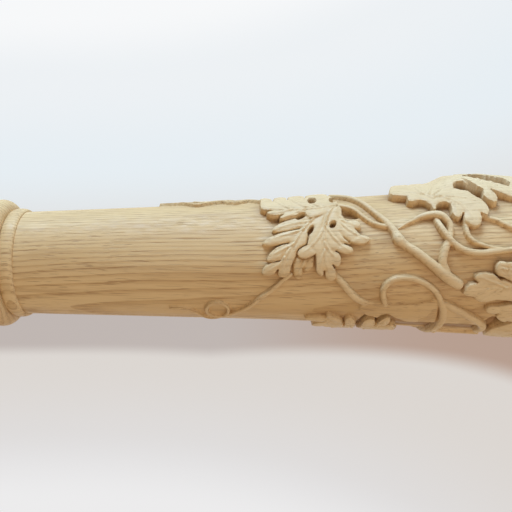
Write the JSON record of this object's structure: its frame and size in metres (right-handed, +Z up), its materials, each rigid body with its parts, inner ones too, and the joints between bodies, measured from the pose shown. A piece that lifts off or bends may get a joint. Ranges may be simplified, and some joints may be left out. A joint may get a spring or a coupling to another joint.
{
  "type": "carved newel post",
  "caption": "Turned oak newel post, its tapering shaft carved in relief with oak leaves, branches and tendrils, between a square plinth and a square head block with a domed cap.",
  "frame": {"origin": "centre of the plinth's underside", "axes": "+Z up along the post's axis; -Y is the side that the picture shows"},
  "size_m": [0.16, 0.16, 1.165],
  "materials": {
    "oak": "bare sanded oak, matt"
  },
  "bodies": {
    "root": {"newel_post": "oak"}
  },
  "joints": []
}
